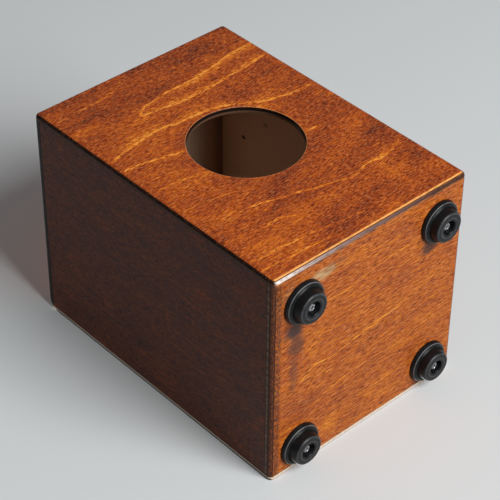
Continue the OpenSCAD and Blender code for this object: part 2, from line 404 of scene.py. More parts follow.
def stain(warmth=0.90):
    """Stained veneer from its darkest figure to its brightest growth line. warmth scales the yellow in it."""
    shades = [
        (0.00, (0.048, 0.012, 0.008)),
        (0.22, (0.150, 0.034, 0.010)),
        (0.42, (0.295, 0.062, 0.009)),
        (0.60, (0.440, 0.108, 0.009)),
        (0.80, (0.660, 0.220, 0.012)),
        (1.00, (0.920, 0.450, 0.045)),
    ]
    return [(place, (red, green * warmth, blue)) for place, (red, green, blue) in shades]


RAW_PLY = [
    (0.00, (0.660, 0.430, 0.280)),
    (0.50, (0.840, 0.590, 0.430)),
    (1.00, (0.930, 0.720, 0.560)),
]


# Plies along a board's edge, from the face veneer to the back, as shares of the thickness
PLIES = [
    (0.00, (0.085, 0.030, 0.016)), (0.10, (0.030, 0.012, 0.008)), (0.13, (0.105, 0.040, 0.022)),
    (0.31, (0.025, 0.010, 0.007)), (0.34, (0.060, 0.022, 0.013)), (0.52, (0.025, 0.010, 0.007)),
    (0.55, (0.105, 0.040, 0.022)), (0.72, (0.025, 0.010, 0.007)), (0.75, (0.060, 0.022, 0.013)),
]
REAR_PLIES = [
    (0.00, (0.014, 0.006, 0.004)), (0.52, (0.010, 0.005, 0.004)), (0.58, (0.120, 0.052, 0.032)),
    (0.78, (0.090, 0.038, 0.024)), (0.84, (0.006, 0.003, 0.003)),
]
BOTTOM_PLIES = [
    (0.00, (0.040, 0.014, 0.009)), (0.07, (0.055, 0.018, 0.011)), (0.10, (0.240, 0.072, 0.026)),
    (0.38, (0.170, 0.050, 0.022)), (0.44, (0.060, 0.024, 0.014)), (0.48, (0.010, 0.005, 0.004)),
    (0.58, (0.012, 0.006, 0.005)), (0.62, (0.480, 0.270, 0.140)), (0.84, (0.400, 0.210, 0.110)),
    (0.88, (0.006, 0.003, 0.003)),
]

# How a stained veneer looks unless its board says otherwise. tone is its lightness, and blotch, streak and
# fine say how much soft patches, coarse and fine fibres change it. bands and flame are the number and
# strength of its own growth lines. fibre, coarse and pores are noise scales along and across the grain. glint
# is the strength of painted highlight glints on bright pores, pore that of dark pores, and veneer is the face
# veneer's thickness in mm.
PLAIN_STYLE = {
    "tone": 0.44, "blotch": 0.95, "streak": 0.60, "fine": 0.95, "bands": 5.0, "flame": 0.2, "warmth": 0.90,
    "fibre": (150, 620, 1), "coarse": (38, 230, 1), "pores": (240, 900, 1), "glint": 0.34, "pore": 0.85,
    "lines": [], "patches": [], "plies": PLIES, "veneer": 0.75,
}
# Painted highlight: the colour of the varnish glints painted on bright pores
PORE_GLINT = (0.80, 0.36, 0.14)
DARK_PORE = (0.030, 0.008, 0.003)
EDGE_FIBRE = (0.110, 0.042, 0.020)
CURVE_LIMIT = 0.16
HALO_STRENGTH = 0.40


def styled(**own):
    """The plain style with a board's own values in place of its."""
    return {**PLAIN_STYLE, **own}


def growth_line(f, along, across, wobble, points, width, glow):
    """One bright growth line of the face veneer: near the smooth curve through points (along, across), in
    millimetres, and fading out at its ends. glow is how far its light side reaches, signed."""
    spots = [mm(*point) for point in points]
    start, end = min(a for a, b in spots), max(a for a, b in spots)
    outside, inside = mm(3, 5)
    away = f.plus(f.minus(across, f.curve(along, spots, CURVE_LIMIT)), wobble)
    near = f.step(f.math("ABSOLUTE", away), width, width * 0.25)
    side = f.times(away, 1.0 if glow > 0 else -1.0)
    halo = f.times(f.step(side, 0.0, width), f.step(side, abs(glow), 0.0), HALO_STRENGTH)
    fade = f.times(f.step(along, start - outside, start + inside), f.step(along, end + outside, end - inside))
    return f.times(f.math("MAXIMUM", near, halo), fade)


def veneer_tone(f, grain, across, seed, style):
    """How light the face veneer is, 0 to 1, with its fibre height for the bump and its flat coordinates.
    Growth lines are the contour lines of a smooth hill field stretched along the grain, and the lines that
    style names. Fibres are noise drawn out along the grain, blotches are soft noise."""
    flat = f.join(grain, across, 0.0)
    hills = f.noise(flat, (4.5, 15, 1), (seed, seed * 1.7, 0), detail=1.0, roughness=0.35)
    ripple = f.noise(flat, (55, 120, 1), (seed * 2.3, 0, 0), detail=4, roughness=0.7)
    phase = f.math("FRACT", f.times_plus(hills, style["bands"], f.times(ripple, 0.16)))
    line = f.plus(f.step(phase, 0.93, 0.985), f.step(phase, 0.10, 0.0), clamp=True)
    broken = f.step(f.noise(flat, (16, 40, 1), (seed * 5, 0, 0), detail=3, roughness=0.6), 0.36, 0.62)
    fibre = f.noise(flat, style["fibre"], (seed, 0, 0), detail=2.5, roughness=0.7)
    coarse = f.noise(flat, style["coarse"], (seed, 4, 0), detail=3, roughness=0.65)
    blotch = f.noise(flat, (20, 42, 1), (seed * 7, 0, 0), detail=5, roughness=0.65)
    tone = style["tone"]
    for noise, share in ((blotch, "blotch"), (coarse, "streak"), (fibre, "fine")):
        tone = f.swing(noise, style[share], tone)
    for middle_a, middle_b, half_a, half_b, lift in style["patches"]:
        away = f.swing(blotch, 1.6, f.away(grain, across, mm(middle_a, middle_b), mm(half_a, half_b)))
        tone = f.times_plus(f.step(away, 1.35, 0.15), lift, tone)
    mark = f.times(line, broken, style["flame"])
    wobble = f.swing(f.noise(flat, (38, 70, 1), (seed * 2.9, 0, 0), detail=2, roughness=0.5), 5 * MM)
    patchy = f.step(fibre, 0.30, 0.62, 0.45, 1.0)
    for points, width, glow, light in style["lines"]:
        drawn = growth_line(f, grain, across, wobble, points, width * MM, glow * MM)
        mark = f.math("MAXIMUM", mark, f.times(drawn, patchy, light))
    return f.plus(tone, mark, clamp=True), f.plus(fibre, coarse), flat


def stained_plywood(name, grain, across, through, outer, thickness, seed, style, extra=None):
    """Plywood with a stained and varnished face, plies along its edges and a raw back.
    Depth is the distance from the outer face: the face veneer as deep as the style says, then plies with dark
    glue lines between them, then the back. extra(f, axes, colour) may add marks of its own."""
    f = Finish(name)
    here = f.position()
    axes = dict(zip("xyz", f.split(here)))
    lifted = {**axes, "z": f.minus(axes["z"], MIDDLE_Z)}
    tone, fibre, flat = veneer_tone(f, lifted[grain], lifted[across], seed, style)
    pores = f.noise(flat, style["pores"], (seed, 9, 0), detail=2, roughness=0.75)
    face = f.ramp(tone, stain(style["warmth"]))
    # Painted highlight: glints painted on the bright pores, then dark pores
    face = f.mix(f.step(pores, 0.50, 0.68, 0.0, style["glint"]), face, PORE_GLINT)
    face = f.mix(f.step(pores, 0.50, 0.32, 0.0, style["pore"]), face, DARK_PORE)
    depth = f.math("ABSOLUTE", f.minus(axes[through], outer))
    layer = f.math("DIVIDE", f.swing(f.noise(here, 120, detail=2), 0.35 * MM, depth), thickness)
    edge_fibre = f.step(f.noise(here, 500, detail=3), 0.42, 0.7, 0.0, 0.45)
    plies = f.mix(edge_fibre, f.ramp(layer, style["plies"]), EDGE_FIBRE)
    veneer = style["veneer"] * MM
    colour = f.mix(f.step(depth, veneer * 0.6, veneer * 1.2), face, plies)
    is_back = f.step(depth, thickness - 0.25 * MM, thickness - 0.12 * MM)
    colour = f.mix(is_back, colour, f.ramp(f.times_plus(fibre, 0.35, 0.15), RAW_PLY))
    if extra is not None:
        colour = extra(f, axes, colour)
    roughness = f.times_plus(is_back, 0.35, f.times_plus(fibre, 0.10, 0.26))
    waves = f.bump(f.noise(here, 22, detail=1), 0.6 * MM, 0.5)
    return f.surface(Base_Color=colour, Roughness=roughness, Normal=f.bump(fibre, 0.05 * MM, 0.6, waves),
                     IOR=1.5, Specular_IOR_Level=0.09, Coat_Weight=0.04, Coat_Roughness=0.12)


def tapa_finish():
    """Thin plywood: a stained face, pale sanded edges with two glue lines, a raw back. Over the +X side
    painted shade makes the face nearly black and carries that dark 1.1 mm further over the pale edge."""
    f = Finish("tapa_stained_face")
    axes = dict(zip("xyz", f.split(f.position())))
    style = styled(bands=6.0, tone=0.5, blotch=0.7)
    tone, fibre, flat = veneer_tone(f, axes["z"], axes["x"], 31.0, style)
    depth = f.minus(axes["y"], FRONT_Y)
    speck = f.noise(f.position(), 420, detail=3)
    pale = f.mix(f.step(speck, 0.35, 0.7), (0.80, 0.70, 0.53), (0.93, 0.86, 0.72))
    glue_lines = f.ramp(f.math("DIVIDE", depth, TAPA_BACK_Y - FRONT_Y), [
        (0.30, grey(1.0)), (0.34, grey(0.62)), (0.38, grey(0.86)),
        (0.64, grey(0.86)), (0.68, grey(0.62)), (0.72, grey(1.0)),
    ])
    pale = f.mix(1.0, pale, glue_lines, "MULTIPLY")
    # Painted shade: along the +X side the face is darkened nearly to black and the dark reaches 1.1 mm
    # deeper, as the contact shade under its rounding
    shaded = f.step(axes["x"], SIDE_X - 3.0 * MM, SIDE_X - 1.0 * MM)
    face = f.mix(shaded, f.ramp(tone, stain()), (0.040, 0.018, 0.012))
    below_veneer = f.minus(depth, f.times_plus(shaded, 1.1 * MM, 0.75 * MM))
    colour = f.mix(f.step(below_veneer, -0.15 * MM, 0.15 * MM), face, pale)
    colour = f.mix(f.step(depth, 2.85 * MM, 3.05 * MM), colour, (0.060, 0.022, 0.012))
    raw = f.ramp(f.times_plus(fibre, 0.35, 0.2), RAW_PLY)
    colour = f.mix(f.step(depth, 3.2 * MM, 3.35 * MM), colour, raw)
    return f.surface(Base_Color=colour, Roughness=f.times_plus(fibre, 0.12, 0.30),
                     Normal=f.bump(fibre, 0.05 * MM, 0.5), Specular_IOR_Level=0.2, Coat_Weight=0.08,
                     Coat_Roughness=0.2)


def bare_wood(name, grain, across, seed):
    """Sanded softwood: straight growth lines along the grain, fine fibres, a little grime."""
    f = Finish(name)
    axes = dict(zip("xyz", f.split(f.position())))
    others = [axes[a] for a in "xyz" if a != grain]
    flat = f.join(axes[grain], others[0], others[1])
    bend = f.noise(flat, (12, 60, 60), (seed, 0, 0), detail=2)
    rings = f.math("FRACT", f.times_plus(axes[across], 420.0, f.times(bend, 2.4)))
    fibre = f.noise(flat, (70, 900, 900), (seed, 0, 0), detail=3, roughness=0.6)
    tone = f.times_plus(fibre, 0.6, f.times(rings, 0.35))
    colour = f.ramp(tone, [(0.1, (0.62, 0.42, 0.22)), (0.5, (0.70, 0.52, 0.31)), (0.9, (0.46, 0.28, 0.13))])
    grime = f.step(f.noise(f.position(), 60, detail=3), 0.45, 0.75, 0.0, 0.35)
    colour = f.mix(grime, colour, (0.34, 0.22, 0.13))
    return f.surface(Base_Color=colour, Roughness=f.times_plus(fibre, 0.2, 0.55),
                     Normal=f.bump(fibre, 0.08 * MM, 0.5))


def foot_rubber():
    """Moulded black rubber: mould texture, dusty patches, painted highlight rings on the flange's bead and,
    fainter, on the end's rim and round the recess. The rings are told by the distance from the nearest foot's
    middle and by the height."""
    f = Finish("foot_black_rubber")
    here = f.position()
    axes = f.split(here)
    across = f.minus(f.math("ABSOLUTE", axes[0]), FOOT_X)
    beyond = f.minus(axes[1], (FOOT_REAR_Y + FOOT_FRONT_Y) / 2)
    along = f.minus(f.math("ABSOLUTE", beyond), (FOOT_REAR_Y - FOOT_FRONT_Y) / 2)
    r = f.away(across, along)
    grain = f.noise(here, 900, detail=3, roughness=0.6)
    dust_and_sheen = f.noise(here, 140, detail=4, roughness=0.65)
    colour = f.mix(f.step(dust_and_sheen, 0.5, 0.8, 0.0, 0.5), (0.0045, 0.0047, 0.0052), (0.016, 0.0165, 0.0175))
    colour = f.mix(f.step(grain, 0.55, 0.8, 0.0, 0.25), colour, (0.030, 0.031, 0.033))
    # Painted highlights: a bright ring on the flange's bead, fainter rings on the end's rim and round the
    # recess, broken up by the dust noise
    bead = f.times(f.between(r, 19.25, 19.6, 0.12),
                  f.between(axes[2], 9.0, 10.0, 0.2))
    rim = f.times(f.between(r, 13.2, 14.4, 0.4), f.step(axes[2], 1.6 * MM, 0.8 * MM))
    ring = f.times(f.between(r, 9.1, 9.9, 0.2), f.step(axes[2], 1.0 * MM, 0.5 * MM))
    rubbed = f.math("MAXIMUM", bead, f.times(f.math("MAXIMUM", rim, ring), 0.35))
    colour = f.tint(colour, (0.150, 0.155, 0.160), rubbed, f.step(dust_and_sheen, 0.25, 0.60, 0.35, 1.0), 0.8)
    roughness = f.times_plus(dust_and_sheen, 0.25, 0.24)
    return f.surface(Base_Color=colour, Roughness=roughness, Normal=f.bump(grain, 0.06 * MM, 0.5),
                     Specular_IOR_Level=0.22)


def zinc_steel():
    """Bright zinc plating: a soft brushed sparkle, dull spots."""
    f = Finish("screw_zinc_steel")
    here = f.position()
    spots = f.noise(here, 700, detail=3)
    brush = f.noise(here, (2500, 2500, 400), detail=2)
    colour = f.mix(f.step(spots, 0.45, 0.7), (0.46, 0.46, 0.48), (0.20, 0.20, 0.21))
    roughness = f.times_plus(spots, 0.25, 0.14)
    return f.surface(Base_Color=colour, Metallic=1.0, Roughness=roughness,
                     Normal=f.bump(brush, 0.01 * MM, 0.4))


def spring_steel():
    """Drawn spring wire: grey steel, slightly darker in patches."""
    f = Finish("snare_spring_steel")
    here = f.position()
    patch = f.noise(here, (300, 300, 90), detail=3)
    colour = f.mix(f.step(patch, 0.35, 0.7), (0.70, 0.70, 0.71), (0.45, 0.44, 0.43))
    return f.surface(Base_Color=colour, Metallic=1.0, Roughness=f.times_plus(patch, 0.2, 0.2),
                     Normal=f.bump(f.noise(here, 3000), 0.005 * MM, 0.4))


def sheet_brass():
    """Stamped sheet brass: rolling marks along X, brown tarnish in patches."""
    f = Finish("plate_sheet_brass")
    here = f.position()
    rolled = f.noise(here, (60, 1800, 1800), detail=3)
    tarnish = f.noise(here, 170, detail=4, roughness=0.6)
    colour = f.mix(f.step(tarnish, 0.42, 0.72), (0.78, 0.58, 0.25), (0.42, 0.27, 0.10))
    colour = f.mix(f.step(rolled, 0.5, 0.8, 0.0, 0.3), colour, (0.90, 0.74, 0.42))
    return f.surface(Base_Color=colour, Metallic=1.0, Roughness=f.times_plus(tarnish, 0.3, 0.16),
                     Normal=f.bump(rolled, 0.01 * MM, 0.5))


def grey_felt():
    """Pressed felt: tangled pale and dark hairs."""
    f = Finish("snare_grey_felt")
    here = f.position()
    hairs = f.noise(here, 1500, detail=4, roughness=0.7, distortion=1.2)
    clumps = f.noise(here, 260, detail=3)
    colour = f.mix(hairs, (0.035, 0.036, 0.040), (0.20, 0.20, 0.21))
    colour = f.mix(f.step(clumps, 0.4, 0.7, 0.0, 0.4), colour, (0.06, 0.06, 0.065))
    return f.surface(Base_Color=colour, Roughness=f.times_plus(hairs, 0.1, 0.85),
                     Normal=f.bump(hairs, 0.3 * MM, 0.8), Specular_IOR_Level=0.2)


# Each growth line: its points (along, across) the grain in millimetres from the board's middle, half width,
# reach of its light side, strength
REAR_LINES = [
    ([(-109, 113), (-94, 112), (-28, 102), (18, 100), (34, 96), (44, 90)], 2.4, -14, 0.46),
    ([(-109, 91), (-82, 87), (-62, 85), (-27, 82), (20, 85), (44, 89)], 2.3, 12, 0.44),
    ([(-103, 28), (-81, 28), (-52, 36), (-12, 56), (16, 59), (58, 62), (106, 51)], 2.6, 14, 0.46),
    ([(40, 22), (47, 24), (71, 30), (106, 36)], 2.2, -8, 0.40),
    ([(21, 145), (30, 137), (46, 132), (71, 130), (105, 127)], 1.6, 4, 0.32),
    ([(-102, -83), (-70, -93), (-60, -90), (-34, -95), (-5, -88), (60, -70)], 2.0, 5, 0.38),
    ([(-82, -84), (-72, -91), (-62, -89)], 3.4, 5, 0.34),
    ([(-66, -25), (-54, -23), (-46, -23)], 3.0, 4, 0.38),
    ([(36, -104), (53, -97), (68, -99)], 1.8, 4, 0.28),
    ([(-10, -137), (40, -129), (109, -123)], 1.5, 4, 0.26),
    ([(20, -145), (60, -140), (109, -137)], 1.4, 3, 0.26),
    ([(30, -17), (70, -7), (109, -4)], 1.6, 4, 0.24),
    ([(50, -49), (80, -41), (109, -39)], 1.6, 4, 0.24),
]
BOTTOM_LINES = [
    ([(-40, 4), (10, -2), (44, -7), (62, -5), (70, -9), (78, -17)], 1.3, 4, 0.30),
    ([(45, -25), (50, -18), (62, -22), (72, -34)], 1.2, 3, 0.26),
    ([(-60, -46), (0, -38), (50, -44)], 1.2, 3, 0.24),
    ([(-95, 62), (-20, 66), (30, 58), (60, 60)], 1.2, 3, 0.22),
]

# Lighter and darker patches: middle (along, across) and half widths in millimetres, how much the tone rises
REAR_PATCHES = [
    (45, 65, 75, 36, 0.10), (-50, 19, 24, 26, 0.14), (78, -37, 42, 60, 0.07), (70, -129, 60, 34, 0.08),
    (-20, -83, 24, 34, 0.05), (17, -75, 18, 36, -0.13), (-92, -75, 22, 34, -0.12), (0, 139, 125, 20, -0.10),
    (78, 117, 22, 16, -0.10), (-80, 58, 34, 50, -0.03), (30, -137, 26, 10, -0.08),
]
BOTTOM_PATCHES = [
    (28, 79, 26, 7, -0.14), (-60, -66, 34, 22, -0.05), (20, -48, 60, 22, -0.05), (88, -30, 22, 34, -0.04),
]


# Painted shadows of the feet on the bottom, with grime: middle (x, y) and half widths in millimetres,
# strength
FOOT_SHADOW_GRIME_SPOTS = [
    ((87, 47), (13, 9), 0.95), ((84, 28), (10, 17), 0.70), ((86, -2), (6, 24), 0.45),
    ((-70, 50), (13, 8), 0.80), ((-72, -106), (12, 5), 0.5), ((57, 66), (5, 12), 0.4),
]
GREY_SPOTS = [((92, 84), (18, 18), 0.7), ((40, 92), (18, 6), 0.55)]
RED_LINES_MM = (-95.5, -91.5, -87.5)

# Knots of the left side's inner face: middle (y, z), half width along Y in millimetres, strength
KNOTS = [((0.004, 0.2845), 2.3, 0.95), ((0.034, 0.254), 3.0, 0.4)]

# Painted reflection on the rear panel's dark edge over the bottom panel, from the -X side to the +X side
PAINTED_EDGE_REFLECTION = [
    (0.00, (0.045, 0.018, 0.012)), (0.18, (0.050, 0.022, 0.016)), (0.40, (0.115, 0.070, 0.066)),
    (0.65, (0.210, 0.150, 0.148)), (0.85, (0.430, 0.345, 0.320)), (0.97, (0.800, 0.720, 0.660)),
]
HOLE_WALL = [(0.50, (0.010, 0.006, 0.005)), (0.68, (0.100, 0.052, 0.030))]


def rear_marks(f, axes, colour):
    """The sound hole's wall, stained nearly black in its outer half and brown deeper, with a paler orange
    ring on its eased rim. And the panel's edge over the bottom panel: a painted highlight line along its
    rounding, then dark plies with a painted reflection that grows paler towards +X."""
    hole = f.minus(f.away(axes["x"], axes["z"], (0.0, MIDDLE_Z)), SOUND_HOLE_R)
    depth = f.minus(REAR_Y, axes["y"])
    wall = f.ramp(f.math("DIVIDE", depth, REAR_Y - REAR_INNER_Y), HOLE_WALL)
    colour = f.mix(f.step(hole, 0.45 * MM, 0.15 * MM), colour, wall)
    colour = f.tint(colour, (0.75, 0.40, 0.17), f.between(hole, 0.45, 0.8, 0.15), 0.35)
    low = f.times(f.step(axes["z"], BOTTOM_Z + 4.2 * MM, BOTTOM_Z + 3.6 * MM),
                  f.step(f.math("ABSOLUTE", axes["x"]), SIDE_X - 1.5 * MM, SIDE_X - 4.0 * MM))
    place = f.times_plus(axes["x"], 0.5 / SIDE_X, 0.5)
    rim_noise = f.noise(f.join(axes["x"], axes["y"], axes["z"]), (180, 600, 600), detail=3, roughness=0.6)
    stained = f.mix(f.step(rim_noise, 0.40, 0.62), (0.420, 0.130, 0.026), (0.140, 0.046, 0.020))
    colour = f.tint(colour, stained, low, f.between(depth, 1.3, 5.6, 0.3))
    # Painted reflection: the plies' band over the bottom panel, dark at -X and paling to whitish at +X
    painted_sheen = f.mix(f.step(rim_noise, 0.60, 0.30, 0.0, 0.6), f.ramp(place, PAINTED_EDGE_REFLECTION), (0.110, 0.050, 0.030))
    below_band = f.minus(depth, f.times_plus(f.step(place, 0.30, 0.05), 0.5 * MM, 3.6 * MM))
    band = f.times(f.step(depth, 1.0 * MM, 1.6 * MM), f.step(below_band, 0.5 * MM, 0.0))
    colour = f.tint(colour, painted_sheen, low, band)
    # Painted highlight: a bright line along the rim's rounding, broken up by noise
    broken = f.step(rim_noise, 0.25, 0.55, 0.35, 0.85)
    return f.tint(colour, (0.860, 0.400, 0.110), low, f.between(depth, 0.20, 0.65, 0.15), broken)


def bottom_marks(f, axes, colour):
    """Wear, dirt and painted shadow on the bottom: pale rubbed grain between the rear edge and the +X rear
    foot, grey streaks by that corner, painted shadows of the feet with grime, mostly on their tapa side, a
    dark line along the +X edge, three faint red lines along the -X edge."""
    x, y = axes["x"], axes["y"]
    flat = f.join(x, y, 0.0)
    face = f.step(f.minus(axes["z"], BOTTOM_Z), 1.2 * MM, 0.6 * MM)
    streak = f.noise(flat, (70, 620, 1), (3, 0, 0), detail=3, roughness=0.65)
    soft = f.swing(f.noise(flat, (55, 75, 1), (8, 0, 0), detail=4, roughness=0.65), 1.6)

    def spot(middle, half, strength):
        away = f.plus(f.away(x, y, mm(*middle), mm(*half)), soft)
        return f.times(face, f.step(away, 1.25, 0.35), strength)

    rubbed = f.step(streak, 0.36, 0.58, 0.25, 1.0)
    colour = f.tint(colour, (0.520, 0.400, 0.210), spot((57, 90), (16, 7), 0.75), rubbed)
    for place in GREY_SPOTS:
        colour = f.tint(colour, (0.085, 0.055, 0.042), spot(*place), f.step(streak, 0.56, 0.42))
    paled = spot((90, 89), (12, 10), 0.55)
    colour = f.tint(colour, (0.640, 0.470, 0.330), paled, f.step(streak, 0.52, 0.66))
    # Painted shadows of the feet, with grime, mostly on their tapa side
    for place in FOOT_SHADOW_GRIME_SPOTS:
        colour = f.mix(spot(*place), colour, (0.055, 0.032, 0.028))
    speck = f.noise(flat, (900, 260, 1), (5, 0, 0), detail=3, roughness=0.7)
    edge = f.step(x, 99.0 * MM, 103.0 * MM)
    colour = f.tint(colour, (0.050, 0.020, 0.014), edge, f.step(speck, 0.62, 0.40, 0.10, 0.90))
    along = f.between(y, -50, 30, 30)
    for start in RED_LINES_MM:
        line = f.times(f.between(x, start - 0.25, start + 0.25, 0.3), along)
        colour = f.tint(colour, (0.290, 0.050, 0.012), f.times(face, line), 0.35)
    return colour


def seat_marks(f, axes, colour):
    """The seat panel's inner face greyed, with painted shade darkening it towards the -X inner corner, and
    its rounded edge over the right side painted nearly black as shade."""
    inside = f.step(f.minus(axes["z"], CEILING_Z), 0.5 * MM, 0.2 * MM)
    colour = f.tint(colour, (0.110, 0.095, 0.045), inside, 0.30)
    # Painted shade: the inner face darkens towards the -X inner corner
    corner = f.step(axes["x"], -INNER_X + 18 * MM, -INNER_X + 2 * MM, 0.0, 0.45)
    colour = f.tint(colour, (0.020, 0.012, 0.009), inside, corner)
    # Painted shade: the rounding over the right side is made nearly black
    return f.mix(f.step(axes["x"], SIDE_X - 6.0 * MM, SIDE_X - 3.5 * MM), colour, (0.016, 0.008, 0.006))


def left_marks(f, axes, colour):
    """A small dark knot and a fainter one on the left side panel's inner face."""
    inside = f.step(axes["x"], -INNER_X - 0.5 * MM, -INNER_X - 0.2 * MM)
    for middle, r, strength in KNOTS:
        spread = f.step(f.away(axes["y"], axes["z"], middle, (r * MM, r * 1.4 * MM)), 1.2, 0.3)
        colour = f.tint(colour, (0.05, 0.025, 0.014), inside, spread, strength)
    return colour


REAR_STYLE = styled(lines=REAR_LINES, patches=REAR_PATCHES, flame=0.12, tone=0.48, warmth=0.74, fine=1.05,
                    plies=REAR_PLIES)
BOTTOM_STYLE = styled(lines=BOTTOM_LINES, patches=BOTTOM_PATCHES, bands=3.0, flame=0.10, blotch=0.45,
                      tone=0.56, fibre=(60, 640, 1), coarse=(18, 260, 1), fine=0.85, streak=0.45, glint=0.40,
                      pores=(150, 900, 1), warmth=0.91, plies=BOTTOM_PLIES, veneer=0.25)
SEAT_STYLE = styled(bands=4.0, tone=0.5)
# Painted shade: the right side's veneer is made far darker than the other boards for the side turned from the
# key light, with fewer painted glints
RIGHT_SHADED_STYLE = styled(bands=4.0, tone=0.155, blotch=0.40, flame=0.10, glint=0.12)
LEFT_STYLE = styled(bands=4.0, tone=0.42)

# Each board: grain, across it, through the board, outer face, thickness, seed of its noise
REAR_PLY = stained_plywood("rear_panel_stained_ply", "x", "z", "y", REAR_Y, REAR_Y - REAR_INNER_Y, 3.0,
                           REAR_STYLE, rear_marks)
BOTTOM_PLY = stained_plywood("bottom_panel_stained_ply", "x", "y", "z", BOTTOM_Z, WALL, 11.0, BOTTOM_STYLE,
                             bottom_marks)
SEAT_PLY = stained_plywood("seat_panel_stained_ply", "x", "y", "z", TOP_Z, WALL, 17.0, SEAT_STYLE, seat_marks)
RIGHT_PLY = stained_plywood("right_side_shaded_stained_ply", "z", "y", "x", SIDE_X, WALL, 23.0, RIGHT_SHADED_STYLE)
LEFT_PLY = stained_plywood("left_side_stained_ply", "z", "y", "x", -SIDE_X, WALL, 29.0, LEFT_STYLE,
                           left_marks)
TAPA_PLY = tapa_finish()
BAR_WOOD = bare_wood("snare_bar_softwood", "x", "z", 2.0)
BLOCK_WOOD = bare_wood("block_softwood", "z", "y", 5.0)
RUBBER = foot_rubber()
ZINC = zinc_steel()
SPRING = spring_steel()
BRASS = sheet_brass()
FELT = grey_felt()

# --- The glued box ---


def under_seat_front(points):
    """Keeps points below the seat's rounded front edge: a quarter circle of SEAT_FRONT_R over the tapa's
    top."""
    reach = np.clip(SEAT_FRONT_R - (points[..., 1] - FRONT_Y), 0, SEAT_FRONT_R)
    highest = TOP_Z - SEAT_FRONT_R + np.sqrt(SEAT_FRONT_R ** 2 - reach ** 2)
    points[..., 2] = np.minimum(points[..., 2], highest)
    return points


def rear_panel():
    """The rear panel's edge profile round the box outline, then across the face to the sound hole's eased
    rim, down its wall and back: one closed loop of sections. The hole's circles have as many points as the
    outline, evenly spread, so that the flat faces between the two are fans of quads."""
    low, high = (-SIDE_X, BOTTOM_Z), (SIDE_X, TOP_Z)
    radii = (EDGE_R,) * 4
    corner_steps, along_width, along_height = 10, 17, 25
    edge = edge_profile(REAR_INNER_Y, REAR_Y, INNER_CORNER_R, REAR_RIM_R, 6)
    outer = board_sections(low, high, radii, edge, "xzy", corner_steps, (along_width, along_height))
    count = outer.shape[1]
    to_corner = (corner_steps + 2) / 2
    first = TURN / 4 - (corner_steps + 3 + along_width) * TURN / count / 2
    angle = first + (np.arange(count) - to_corner) * TURN / count
    ease, back_ease = 0.7 * MM, 0.3 * MM
    bend = np.linspace(0, TURN / 4, 5)
    rim_r = SOUND_HOLE_R + ease * (1 - np.sin(bend))
    rim_y = REAR_Y - ease * (1 - np.cos(bend))
    back_r = SOUND_HOLE_R + back_ease * (1 - np.cos(bend))
    back_y = REAR_INNER_Y + back_ease * (1 - np.sin(bend))
    face_r, last_r = SOUND_HOLE_R + ease + SUPPORT, SOUND_HOLE_R + back_ease + SUPPORT
    radius = np.concatenate([[face_r], rim_r, back_r, [last_r]])
    depth = np.concatenate([[REAR_Y], rim_y, back_y, [REAR_INNER_Y]])[:, None]
    across = radius[:, None] * np.cos(angle)
    up = MIDDLE_Z + radius[:, None] * np.sin(angle)
    hole = placed(across, up, depth, "xzy")
    return skin(np.concatenate([outer, hole]), loop=True)


def with_front_rings(profile, ring_y):
    """The edge profile with more sections where the seat's front edge curves."""
    rows = np.concatenate([profile, np.stack([np.zeros(len(ring_y)), ring_y], axis=1)])
    middle = rows[(rows[:, 0] == 0)]
    middle = middle[np.argsort(middle[:, 1])]
    start = profile[: int(np.argmax(profile[:, 0] == 0))]
    end = profile[len(profile) - int(np.argmax(profile[::-1, 0] == 0)):]
    return np.concatenate([start, middle, end])


def seat_panel():
    """The seat's section (flat below, EDGE_R corners above) carried along Y and cut under the rounded front
    edge."""
    profile = edge_profile(TAPA_BACK_Y, REAR_INNER_Y, CRISP_EDGE, CRISP_EDGE)
    bend = np.linspace(0.25, 1, 10) * TURN / 4
    rings = FRONT_Y + SEAT_FRONT_R * (1 - np.cos(bend))
    profile = with_front_rings(profile, rings[rings > TAPA_BACK_Y + MM])
    radii = (EDGE_R, EDGE_R, INNER_CORNER_R, INNER_CORNER_R)
    sections = board_sections((-SIDE_X, CEILING_Z), (SIDE_X, TOP_Z), radii, profile, "xzy")
    return skin(under_seat_front(sections))


def bottom_panel():
    """The bottom's section, EDGE_R corners below, carried along Y."""
    profile = edge_profile(TAPA_BACK_Y, REAR_INNER_Y, CRISP_EDGE, JOINT_EDGE)
    radii = (INNER_CORNER_R, INNER_CORNER_R, EDGE_R, EDGE_R)
    return skin(board_sections((-SIDE_X, BOTTOM_Z), (SIDE_X, FLOOR_Z), radii, profile, "xzy"))


def side_panel(side):
    """A plain board between the seat and the bottom, its outer arrises eased at the joints."""
    ease = 0.1 * MM
    profile = edge_profile(INNER_X, SIDE_X, ease, JOINT_EDGE)
    low, high = (TAPA_BACK_Y, FLOOR_Z), (REAR_INNER_Y, CEILING_Z)
    sections = board_sections(low, high, (ease,) * 4, profile, "yzx", 2)
    return skin(sections * np.array([side, 1, 1]))


TAPA_SCREW_HEAD_R = 2.9 * MM
TAPA_SCREW_R = 1.3 * MM
TAPA_SCREW_SINK = 1.6 * MM
SCREW_GAP = 0.1 * MM
END_MARGIN = 24 * MM
BATTEN_SCREW_RISE = 3.5 * MM
SIDE_SCREW_X = SIDE_X - WALL / 2
SIDE_SCREW_Z = np.linspace(BOTTOM_Z + END_MARGIN, TOP_Z - END_MARGIN, 4)
END_SCREW_X = np.array([-75, 0, 75]) * MM
TOP_SCREW_Z = BATTEN_LOW.z + BATTEN_SCREW_RISE
BOTTOM_SCREW_Z = BOTTOM_Z + WALL / 2
TAPA_SCREW_PLACES = np.array(
    [(side * SIDE_SCREW_X, z) for side in (-1, 1) for z in SIDE_SCREW_Z]
    + [(x, z) for z in (TOP_SCREW_Z, BOTTOM_SCREW_Z) for x in END_SCREW_X]
)


